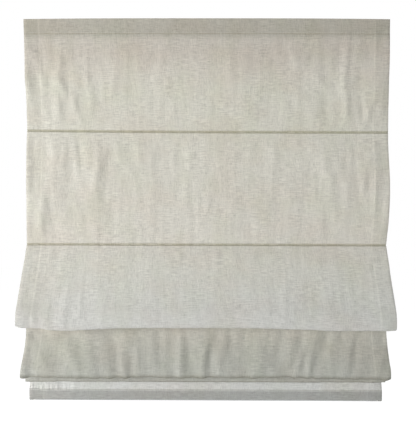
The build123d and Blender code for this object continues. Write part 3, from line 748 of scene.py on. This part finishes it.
cord_pieces += [coiled_cord(column) for column in COLUMNS]

# %% [markdown]
# ## Linen
# Linen is a plain weave of flax threads, uneven by nature: thick places, called slubs, run along
# both directions, and the cloth is matt with a dry sheen. To the eye that is a fine, broken grid of
# lighter and darker threads. The real threads, 0.9 mm apart, are too fine to show from a metre, so
# they are drawn as streaks about three millimetres apart, and at their true spacing only in the
# bump. Washing leaves soft lines down the cloth; they are raised in the bump, and their crests are
# painted lighter and their valleys darker, as painted light and shade.

# %% Threads, slubs and washed lines
linen, tree = new_material("natural_linen")
flat = add(tree, "ShaderNodeUVMap", {"uv_map": "flat"})
STREAKS = [
    # pattern, mm across and down the cloth, detail, shift, two values of its noise, their new ones
    ("warp", 2.8, 14, 4.0, 0.0, 0.35, 0.65, -1.0, 1.0),
    ("weft", 24, 2.8, 4.0, 4.0, 0.35, 0.65, -1.0, 1.0),
    ("warp_shows", 70, 110, 2.0, 27.0, 0.36, 0.62, 0.3, 0.9),
    ("weft_shows", 60, 70, 2.0, 31.0, 0.4, 0.62, 0.5, 1.5),
    ("warp_slubs", 2.2, 13, 1.0, 9.0, 0.62, 0.78, 0.0, 1.0),
    ("weft_slubs", 16, 2.2, 1.0, 13.0, 0.64, 0.8, 0.0, 1.0),
    ("washed", 15, 78, 3.0, 41.0, 0.0, 1.0, 0.0, 1.0),
    ("pleats", 10, 70, 1.0, 63.0, 0.0, 1.0, 0.0, 1.0),
    ("rosy", 130, 90, 2.0, 21.0, 0.42, 0.66, 0.0, 0.5),
    ("greenish", 90, 120, 2.0, 51.0, 0.45, 0.7, 0.0, 0.5),
]
streaks = {}
for name, across_mm, down_mm, detail, shift, low, high, to_low, to_high in STREAKS:
    spread = add(tree, "ShaderNodeMapping", Vector=flat, Location=(shift, shift, shift),
                 Scale=(1000 / across_mm, 1000 / down_mm, 1.0))
    cloudy = add(tree, "ShaderNodeTexNoise", {"noise_dimensions": "2D"}, Vector=spread,
                 Scale=1.0, Detail=detail, Roughness=0.6)
    streaks[name] = add(tree, "ShaderNodeMapRange", Value=cloudy, From_Min=low, From_Max=high,
                        To_Min=to_low, To_Max=to_high)
print("patterns of streaks:", len(streaks))

# %% The threads where they show, and painted light on the crests and painted shade in the valleys of the washed lines
TIMES, TIMES_PLUS = {"operation": "MULTIPLY"}, {"operation": "MULTIPLY_ADD"}
SOFTLY = {"interpolation_type": "SMOOTHSTEP"}
warp = add(tree, "ShaderNodeMath", TIMES, _0=streaks["warp"], _1=streaks["warp_shows"])
threads = add(tree, "ShaderNodeMath", TIMES_PLUS,
              _0=streaks["weft"], _1=streaks["weft_shows"], _2=warp)
slubs = add(tree, "ShaderNodeMath", {"operation": "ADD"},
            _0=streaks["warp_slubs"], _1=streaks["weft_slubs"])
washed = streaks["washed"]
# painted light on the crests of the washed lines and painted shade in their valleys
painted_crest_light = add(tree, "ShaderNodeMapRange", SOFTLY, Value=washed, From_Min=0.5, From_Max=0.74)
painted_valley_shade = add(tree, "ShaderNodeMapRange", SOFTLY, Value=washed, From_Min=0.46, From_Max=0.28)
print("nodes for the threads:", len(tree.nodes))

# %% [markdown]
# The colour down the cloth is painted light and shade, for the light that comes through it from
# behind: painted darker over the headrail's strips and in the hem pocket, where it lies double on
# something dark, and in the closed folds, where it lies four deep, with painted shade under each
# fold, while the hem panel alone hangs clear and is painted bright. A colour ramp down the cloth
# paints this, by its flat place.
# A ramp is kept as a table of 256 steps, 7 mm each here, so sharper edges are mixed in after it.

# %% Painted light and shade down the cloth
where = add(tree, "ShaderNodeSeparateXYZ", Vector=flat)
across_uv = add(tree, "ShaderNodeMath", {"operation": "ABSOLUTE"}, _0=where.outputs[0])
down_uv = add(tree, "ShaderNodeMath", TIMES, _0=where.outputs[1], _1=-1.0)
# places down the cloth and their colours: painted light let through the cloth, painted shade under
# the folds
PAINTED_LIGHT_AND_SHADE_DOWN = [
    (0.0, "#c2beb4"), (HEADING, "#c0bcb2"), (0.09, "#c1bbb0"), (0.14, "#c9c5ba"), (0.2, "#cccabe"),
    (DOWN_2, "#ccc9bf"), (DOWN_2 + 0.06, "#cccbc1"), (DOWN_2 + 0.15, "#cacac3"), (FOLD_1, "#c2c2be"),
    (FOLD_1 + 0.02, "#b9b8ac"), (DOWN_3 + 0.03, "#bdbab0"), (DOWN_3 + 0.07, "#b5b4aa"),
    (FOLD_2 - 0.01, "#adaea6"), (FOLD_3, "#a9a9a1"), (DOWN_5 + 0.12, "#c6c6c2"), (LENGTH, "#caccc9"),
]
share_down = add(tree, "ShaderNodeMath", {"operation": "DIVIDE"}, _0=down_uv, _1=LENGTH)
light_and_shade_ramp = add(tree, "ShaderNodeValToRGB", Fac=share_down)
stops = light_and_shade_ramp.color_ramp.elements
for number, (place, code) in enumerate(PAINTED_LIGHT_AND_SHADE_DOWN):
    stop = stops[number] if number < 2 else stops.new(place / LENGTH)
    stop.position, stop.color = place / LENGTH, linear(code)
print("stops in the ramp:", len(stops))

# %% Sharper bands of painted shade: the heading over the headrail and the hem pocket
# painted shade where the headrail and the weight bar stop the light from behind the cloth
PAINTED_SHADE_BANDS = [
    # two places down the cloth, how much of the colour is there, and the colour
    (HEADING + 1 * MM, HEADING + 18 * MM, 1.0, 0.0, "#e8e8e5"),
    (HEM_STITCH - 3 * MM, HEM_STITCH + 6 * MM, 0.0, 1.0, "#cececd"),
]
TINTED = {"data_type": "RGBA", "blend_type": "MULTIPLY"}
colour = light_and_shade_ramp.outputs[0]
for above, below, much_above, much_below, code in PAINTED_SHADE_BANDS:
    amount = add(tree, "ShaderNodeMapRange", Value=down_uv, From_Min=above, From_Max=below,
                 To_Min=much_above, To_Max=much_below)
    colour = add(tree, "ShaderNodeMix", TINTED, _0=amount, _6=colour, _7=linear(code)).outputs[2]
print("bands:", len(PAINTED_SHADE_BANDS))

# %% Lines: painted shade at the seams and the bottoms of the folds and the hem, and the darker stitches
SHADE_AND_STITCH_LINES = [
    # how far down, half width, fade and colour of each line across the cloth
    (HEADING + 1 * MM, 0.5 * MM, 2.5 * MM, "#f2f1ee"), (DOWN_1, 2.2 * MM, 5 * MM, "#dad9ce"),
    (DOWN_2, 2.2 * MM, 5 * MM, "#dddcd2"), (FOLD_1, 2 * MM, 8 * MM, "#f0f0ea"),
    (FOLD_2, 2 * MM, 16 * MM, "#c6c4bd"), (FOLD_3, 2 * MM, 5 * MM, "#bfbdb5"),
    (HEM_STITCH, 0.3 * MM, 1.5 * MM, "#e4e4e0"), (HEM_FOLD, 2 * MM, 6 * MM, "#dcdcd8"),
]


def near_line(coordinate, place, core, fade, at_line=1.0, beyond=0.0):
    """One value on a line of the cloth and another away from it, with a soft step between."""
    past = add(tree, "ShaderNodeMath", {"operation": "SUBTRACT"}, _0=coordinate, _1=float(place))
    off = add(tree, "ShaderNodeMath", {"operation": "ABSOLUTE"}, _0=past)
    return add(tree, "ShaderNodeMapRange", SOFTLY, Value=off, From_Min=core, From_Max=fade,
               To_Min=at_line, To_Max=beyond)


# the seam, fold and hem-fold lines are painted shade; the heading and hem stitch lines are the darker
# thread
for place, core, fade, code in SHADE_AND_STITCH_LINES:
    amount = near_line(down_uv, place, core, fade)
    colour = add(tree, "ShaderNodeMix", TINTED, _0=amount, _6=colour, _7=linear(code)).outputs[2]
print("lines:", len(SHADE_AND_STITCH_LINES))

# %% [markdown]
# The threads and slubs are small changes of lightness over those colours, and the washed lines
# add painted light on their crests and painted shade in their valleys. Towards the left the lower
# folds are painted a little lighter, as painted light from the key lamp, and the side hems, which
# are two layers, are painted a little darker, as painted shade, with a fine painted line of light at
# their inner edge. Large faint clouds of rose and green come last.

# %% Threads, and painted light and shade on the folds and side hems, over those colours
lightness = add(tree, "ShaderNodeMapRange", Value=threads, From_Min=-1.2, From_Max=1.2,
                To_Min=0.905, To_Max=1.115)
# the slubs darken; the washed crests get painted light and their valleys painted shade
for pattern, share in ((slubs, -0.13), (painted_crest_light, 0.035), (painted_valley_shade, -0.02)):
    lightness = add(tree, "ShaderNodeMath", TIMES_PLUS, _0=pattern, _1=share, _2=lightness)
to_left = add(tree, "ShaderNodeMapRange", SOFTLY, Value=where.outputs[0],
              From_Min=-HALF_WIDTH, From_Max=-0.3, To_Min=1.0, To_Max=0.0)
# painted light: the lower folds lighter towards the left, where the key lamp falls on them
painted_light_low_folds = add(tree, "ShaderNodeMapRange", SOFTLY, Value=down_uv,
                   From_Min=DOWN_3 + 0.02, From_Max=FOLD_2 - 0.04, To_Min=0.0, To_Max=0.09)
lightness = add(tree, "ShaderNodeMath", TIMES_PLUS, _0=to_left, _1=painted_light_low_folds, _2=lightness)
# painted shade on the two-layer side hems, and a fine painted line of light at their inner edge
painted_hem_edge_light = near_line(across_uv, HALF_WIDTH - HEM, 1 * MM, 4 * MM, 1.07, 1.0)
painted_hem_shade = add(tree, "ShaderNodeMapRange", SOFTLY, Value=across_uv, From_Min=HALF_WIDTH - HEM,
             From_Max=HALF_WIDTH - HEM + 4 * MM, To_Min=1.0, To_Max=0.955)
for factor in (painted_hem_edge_light, painted_hem_shade):
    lightness = add(tree, "ShaderNodeMath", TIMES, _0=lightness, _1=factor)
grey = add(tree, "ShaderNodeCombineColor", Red=lightness, Green=lightness, Blue=lightness)
for amount, tint in ((1.0, grey), (streaks["rosy"], linear("#fbf6f3")),
                     (streaks["greenish"], linear("#f7faf3"))):
    colour = add(tree, "ShaderNodeMix", TINTED, _0=amount, _6=colour, _7=tint).outputs[2]
print("nodes for the colour:", len(tree.nodes))

# %% Weave, washed lines and pleats in the bump
THREAD_PITCH = 0.9  # mm from thread to thread
pitch = add(tree, "ShaderNodeMapping", Vector=flat, Scale=(1000 / THREAD_PITCH / (2 * pi),) * 3)
weave = add(tree, "ShaderNodeMath", TIMES, _0=threads, _1=0.3)
waves = [add(tree, "ShaderNodeTexWave", {"bands_direction": direction}, Vector=pitch,
             Scale=1.0, Distortion=0.6, Detail=1.0).outputs[1] for direction in "XY"]
for height, share in ((waves[0], 0.12), (waves[1], 0.12), (slubs, 0.5)):
    weave = add(tree, "ShaderNodeMath", TIMES_PLUS, _0=height, _1=share, _2=weave)
over_hem = near_line(down_uv, HEM_STITCH - 7 * MM, 4 * MM, 12 * MM, 5.0, 0.0)
left_hem = add(tree, "ShaderNodeMath", TIMES, _0=to_left, _1=over_hem)
raised = add(tree, "ShaderNodeMath", TIMES_PLUS, _0=streaks["pleats"], _1=left_hem, _2=washed)
lines = add(tree, "ShaderNodeBump", Strength=0.4, Distance=2.2 * MM, Height=raised)
bump = add(tree, "ShaderNodeBump", Strength=0.3, Distance=0.3 * MM, Height=weave, Normal=lines)
cloth = add(tree, "ShaderNodeBsdfPrincipled", Base_Color=colour, Roughness=0.9, Normal=bump,
            Sheen_Weight=0.1, Sheen_Roughness=0.5, Specular_IOR_Level=0.2)
add(tree, "ShaderNodeOutputMaterial", Surface=cloth)
linen_sheet.data.materials.append(linen)
print("linen made of", len(tree.nodes), "nodes")

# %% [markdown]
# ## The other finishes
# The rest is plain hardware, and what the eye gets from it comes from how it was made: the streaks
# of a die, the fine grain of a mould, the mottling of zinc, the rows of a woven tape. Each finish is
# one base colour that wanders a little, with such a grain in the bump at its real size.

# %% A finish from its colour and grain
def finish(name, light, dark, roughness, metallic, grain_mm, bump_mm, sheen=0.0):
    """A material whose colour and height wander over a grain of real size along X, Y and Z."""
    material, tree = new_material(name)
    place = add(tree, "ShaderNodeTexCoord").outputs["Object"]
    grain = add(tree, "ShaderNodeMapping", Vector=place, Scale=[1000 / g for g in grain_mm])
    spots = add(tree, "ShaderNodeTexNoise", Vector=grain, Scale=1.0, Detail=3.0)
    worn = add(tree, "ShaderNodeTexNoise", Vector=place, Scale=18.0, Detail=2.0)
    both = add(tree, "ShaderNodeMath", {"operation": "MULTIPLY_ADD"}, _0=spots, _1=0.6, _2=worn)
    blend = add(tree, "ShaderNodeMapRange", Value=both, From_Min=0.55, From_Max=1.05)
    colour = add(tree, "ShaderNodeMix", {"data_type": "RGBA"},
                 _0=blend, _6=linear(dark), _7=linear(light))
    rough = add(tree, "ShaderNodeMapRange", Value=worn, From_Min=0.3, From_Max=0.7,
                To_Min=roughness * 0.85, To_Max=min(1.0, roughness * 1.15))
    bump = add(tree, "ShaderNodeBump", Strength=0.6, Distance=bump_mm * MM, Height=spots)
    shader = add(tree, "ShaderNodeBsdfPrincipled", Base_Color=colour.outputs[2], Roughness=rough,
                 Normal=bump, Metallic=metallic, Sheen_Weight=sheen)
    add(tree, "ShaderNodeOutputMaterial", Surface=shader)
    return material


FINISHES = [
    # name, light and dark colour, roughness, metallic, grain along X, Y and Z in mm, its height in
    # mm, and sheen where there is one
    # sprayed and baked on the rail: a soft shine over a fine orange peel
    ("white_powder_coat", "#efefec", "#e2e2de", 0.45, 0.0, (0.8, 0.8, 0.8), 0.05),
    # pushed through a die: a dull metal shine in long fine streaks
    ("mill_aluminium", "#c9cccf", "#b2b5b8", 0.38, 1.0, (60, 0.5, 0.5), 0.02),
    # moulded in an eroded tool: half matt, with a fine even grain
    ("white_nylon", "#f0efea", "#e4e2da", 0.5, 0.0, (0.6, 0.6, 0.6), 0.03),
    # moulded in a polished tool: glossy, and drawn pale here, not see-through
    ("clear_polycarbonate", "#e6ebea", "#d5dcdb", 0.15, 0.0, (2, 2, 2), 0.01),
    # pulled through a die with its resin: fibres that run along the rod
    ("glass_fibre", "#e2e0cf", "#cfcdb9", 0.4, 0.0, (40, 0.3, 0.3), 0.03),
    # pressed, then plated: bright, with soft mottled spots
    ("zinc_plated_steel", "#d3d6d8", "#bcc0c3", 0.35, 1.0, (2.5, 2.5, 2.5), 0.02),
    # drawn bright: sharper shine, in very long streaks along the shaft
    ("drawn_steel", "#b4b6b9", "#9a9ca0", 0.3, 1.0, (80, 0.4, 0.4), 0.02),
    # wire that was tempered and coiled: dark, with a half-bright shine
    ("spring_steel", "#7e8186", "#63666b", 0.35, 1.0, (4, 0.5, 0.5), 0.02),
    # woven narrow: matt and warm, with rows of thread
    ("cotton_tape", "#e6e3d8", "#cdc9bb", 0.95, 0.0, (0.9, 0.5, 0.5), 0.12, 0.1),
    # woven with hooks or loops standing up: rough, with a soft edge
    ("nylon_pile", "#e9e9e4", "#cfcfc8", 0.95, 0.0, (0.5, 0.5, 0.5), 0.3, 0.2),
    # braided from fine yarn: a faint shine, broken by short twists
    ("braided_polyester", "#efeee8", "#d6d4ca", 0.7, 0.0, (0.4, 0.4, 0.9), 0.1),
    # twisted from flax: dry, and a little lighter than the cloth
    ("linen_thread", "#dedbd0", "#c9c5b6", 0.85, 0.0, (0.5, 0.5, 0.5), 0.05),
]
finishes = {row[0]: finish(*row) for row in FINISHES}
print("finishes besides the linen:", len(finishes))

# %% Give each piece its finish
BY_NODE = {
    "headrail": "white_powder_coat", "headrail_end_cap": "white_nylon",
    "wall_bracket": "zinc_plated_steel", "rod_tips": "white_nylon", "rod": "glass_fibre",
    "cord_rings": "clear_polycarbonate", "weight_bar": "mill_aluminium", "bar_cap": "white_nylon",
    "spool_cradle": "white_nylon", "cord_spool": "white_nylon", "cord_bead": "clear_polycarbonate",
    "lift_shaft": "drawn_steel", "spring_case": "white_nylon", "spring_collar": "white_nylon",
    "torsion_spring": "spring_steel", "rod_pocket": "cotton_tape", "hook_strip": "nylon_pile",
    "loop_strip": "nylon_pile", "lift_cord": "braided_polyester",
    "wound_cord": "braided_polyester", "cloth": "linen_thread",
}
dressed = []
for name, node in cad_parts.items():
    kind = max((k for k in BY_NODE if name.startswith(k)), key=len)
    dressed.append((node, BY_NODE[kind]))
for pieces, kind in ((tape_pockets, "cotton_tape"), (strips, "nylon_pile"),
                     (cord_pieces, "braided_polyester"), (stitches, "linen_thread")):
    dressed += [(piece, kind) for piece in pieces]
for piece, kind in dressed:
    piece.data.materials.clear()
    piece.data.materials.append(finishes[kind])
print("pieces with a finish:", len(dressed) + 1)
